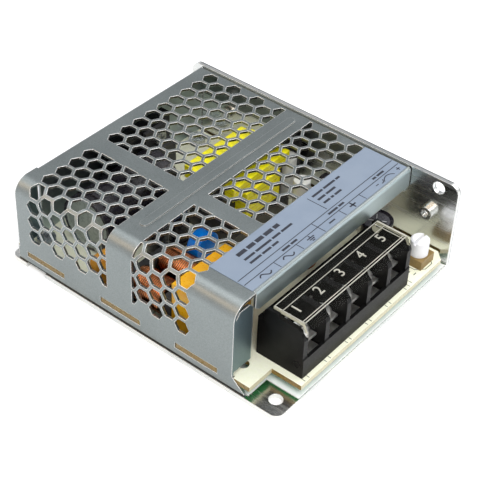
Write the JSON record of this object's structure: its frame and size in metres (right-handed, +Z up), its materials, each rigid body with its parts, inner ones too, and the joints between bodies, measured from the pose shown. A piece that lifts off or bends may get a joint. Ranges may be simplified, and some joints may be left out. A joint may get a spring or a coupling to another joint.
{
  "type": "switching power supply",
  "caption": "Open-frame style AC-DC switching power supply in a folded perforated metal case with a lidded screw terminal block.",
  "frame": {"origin": "centre of the chassis base, on its underside", "axes": "+Z up, +Y from the terminal end to the rear, +X towards the solid chassis wall"},
  "size_m": [0.082, 0.099, 0.03],
  "materials": {
    "chassis": "bright plated, nearly mirror-like",
    "cover": "satin galvanised",
    "label": "satin film",
    "insulator": "satin",
    "board": "semi-gloss laminate",
    "board_posts": "plated",
    "zinc_screw": "zinc plated",
    "terminal_block": "satin black",
    "terminal_contacts": "nickel plated",
    "nickel": "nickel plated",
    "terminal_lid": "clear plastic",
    "trimmer_base": "satin",
    "trimmer_knob": "satin white",
    "can_sleeve": "shrink sleeve",
    "transformer_core": "ferrite",
    "transformer_coil": "polyester tape",
    "transformer_bobbin": "phenolic",
    "choke_core": "ferrite",
    "choke_coil": "enamelled copper",
    "film_capacitor": "moulded box",
    "disc_capacitor": "epoxy dip",
    "varistor": "epoxy dip",
    "fuse": "moulded box",
    "package_black": "moulded epoxy",
    "heat_sink": "black anodised",
    "output_inductor": "enamelled copper on ferrite",
    "glue": "silicone"
  },
  "bodies": {
    "case": {"chassis": "chassis", "cover": "cover", "label": "label", "insulator": "insulator", "board": "board", "board_posts": "board_posts", "board_screws": "zinc_screw", "cover_screws": "zinc_screw", "terminal_block": "terminal_block", "terminal_contacts": "terminal_contacts", "trimmer_base": "trimmer_base", "bulk_capacitor": "can_sleeve", "output_capacitors": "can_sleeve", "small_capacitors": "can_sleeve", "transformer_core": "transformer_core", "transformer_coil": "transformer_coil", "transformer_bobbin": "transformer_bobbin", "choke_core": "choke_core", "choke_coil": "choke_coil", "film_capacitor": "film_capacitor", "disc_capacitor": "disc_capacitor", "varistor": "varistor", "fuse": "fuse", "bridge_rectifier": "package_black", "heat_sink": "heat_sink", "switch_transistor": "package_black", "sink_screw": "zinc_screw", "output_rectifier": "package_black", "output_inductor": "output_inductor", "opto_coupler": "package_black", "board_chips": "package_black", "glue": "glue"},
    "lid": {"terminal_lid": "terminal_lid"},
    "trimmer": {"trimmer_knob": "trimmer_knob"},
    "washer_1": {"washer_1": "nickel"},
    "screw_1": {"screw_1": "nickel"},
    "washer_2": {"washer_2": "nickel"},
    "screw_2": {"screw_2": "nickel"},
    "washer_3": {"washer_3": "nickel"},
    "screw_3": {"screw_3": "nickel"},
    "washer_4": {"washer_4": "nickel"},
    "screw_4": {"screw_4": "nickel"},
    "washer_5": {"washer_5": "nickel"},
    "screw_5": {"screw_5": "nickel"}
  },
  "joints": [
    {"name": "lid_hinge", "type": "hinge", "parent": "case", "child": "lid", "pos_m": [-0.0041, -0.0368, 0.0216], "axis": [-1, 0, 0], "range_deg": [0, 90]},
    {"name": "trimmer_turn", "type": "hinge", "parent": "case", "child": "trimmer", "pos_m": [0.0314, -0.0441, 0.0086], "axis": [0, 0, 1], "range_deg": [-130, 130]},
    {"name": "screw_1_lift", "type": "slide", "parent": "case", "child": "washer_1", "axis": [0, 0, 1], "range_m": [-0.0031, 0]},
    {"name": "screw_1_turn", "type": "hinge", "parent": "washer_1", "child": "screw_1", "pos_m": [-0.0231, -0.0418, 0.01435], "axis": [0, 0, 1], "range_deg": [-2240, 0]},
    {"name": "screw_2_lift", "type": "slide", "parent": "case", "child": "washer_2", "axis": [0, 0, 1], "range_m": [-0.0031, 0]},
    {"name": "screw_2_turn", "type": "hinge", "parent": "washer_2", "child": "screw_2", "pos_m": [-0.0136, -0.0418, 0.01435], "axis": [0, 0, 1], "range_deg": [-2240, 0]},
    {"name": "screw_3_lift", "type": "slide", "parent": "case", "child": "washer_3", "axis": [0, 0, 1], "range_m": [-0.0031, 0]},
    {"name": "screw_3_turn", "type": "hinge", "parent": "washer_3", "child": "screw_3", "pos_m": [-0.0041, -0.0418, 0.01435], "axis": [0, 0, 1], "range_deg": [-2240, 0]},
    {"name": "screw_4_lift", "type": "slide", "parent": "case", "child": "washer_4", "axis": [0, 0, 1], "range_m": [-0.0031, 0]},
    {"name": "screw_4_turn", "type": "hinge", "parent": "washer_4", "child": "screw_4", "pos_m": [0.0054, -0.0418, 0.01435], "axis": [0, 0, 1], "range_deg": [-2240, 0]},
    {"name": "screw_5_lift", "type": "slide", "parent": "case", "child": "washer_5", "axis": [0, 0, 1], "range_m": [-0.0031, 0]},
    {"name": "screw_5_turn", "type": "hinge", "parent": "washer_5", "child": "screw_5", "pos_m": [0.0149, -0.0418, 0.01435], "axis": [0, 0, 1], "range_deg": [-2240, 0]}
  ],
  "couplings": [
    {"joint": "screw_1_turn", "follows": "screw_1_lift", "rad_per_m": 12566},
    {"joint": "screw_2_turn", "follows": "screw_2_lift", "rad_per_m": 12566},
    {"joint": "screw_3_turn", "follows": "screw_3_lift", "rad_per_m": 12566},
    {"joint": "screw_4_turn", "follows": "screw_4_lift", "rad_per_m": 12566},
    {"joint": "screw_5_turn", "follows": "screw_5_lift", "rad_per_m": 12566}
  ]
}
